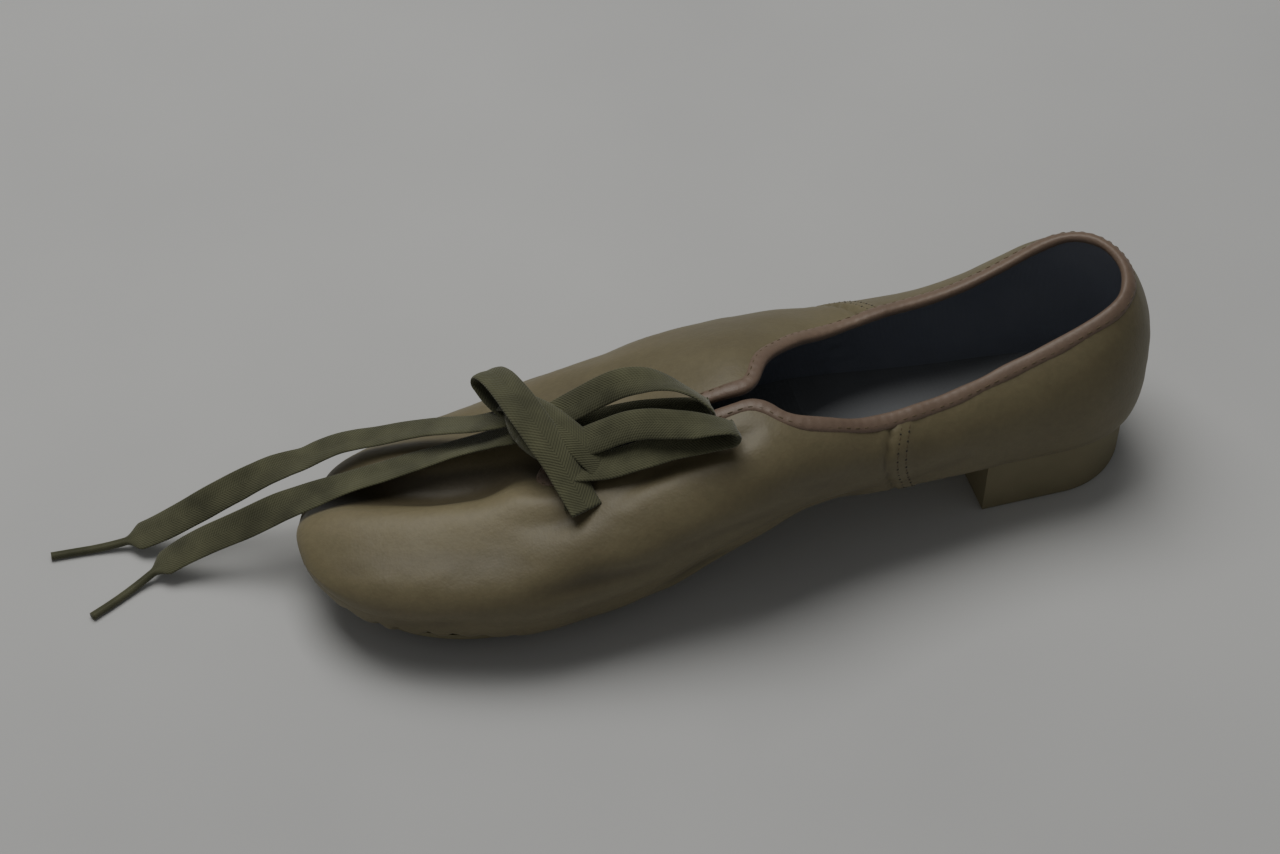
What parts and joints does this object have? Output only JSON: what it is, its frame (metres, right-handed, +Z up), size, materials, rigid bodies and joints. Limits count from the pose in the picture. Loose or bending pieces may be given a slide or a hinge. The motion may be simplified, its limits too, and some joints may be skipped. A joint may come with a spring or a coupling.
{
  "type": "jazz shoe",
  "caption": "Soft tan leather jazz dance shoe with a low heel block, a split rubber sole and flat laces tied in a bow.",
  "frame": {"origin": "on the floor under the middle of the shoe, the loose lace left aside", "axes": "+X from heel to toe, +Y to the inner side of the foot, +Z up"},
  "size_m": [0.3112, 0.0848, 0.0677],
  "materials": {
    "leather": "satin, softly creased",
    "binding": "satin",
    "lining": "matte woven",
    "sole_rubber": "matte, waffle tread",
    "heel_rubber": "matte, fine ribs underneath",
    "lace": "matte woven"
  },
  "bodies": {
    "root": {"upper": "leather", "collar_binding": "binding", "insole": "lining", "forefoot_sole": "sole_rubber", "heel": "heel_rubber", "lace_bar": "lace", "lace_knot": "lace", "lace_loop_far": "lace", "lace_loop_near": "lace", "lace_end_far": "lace", "lace_end_near": "lace"}
  },
  "joints": []
}
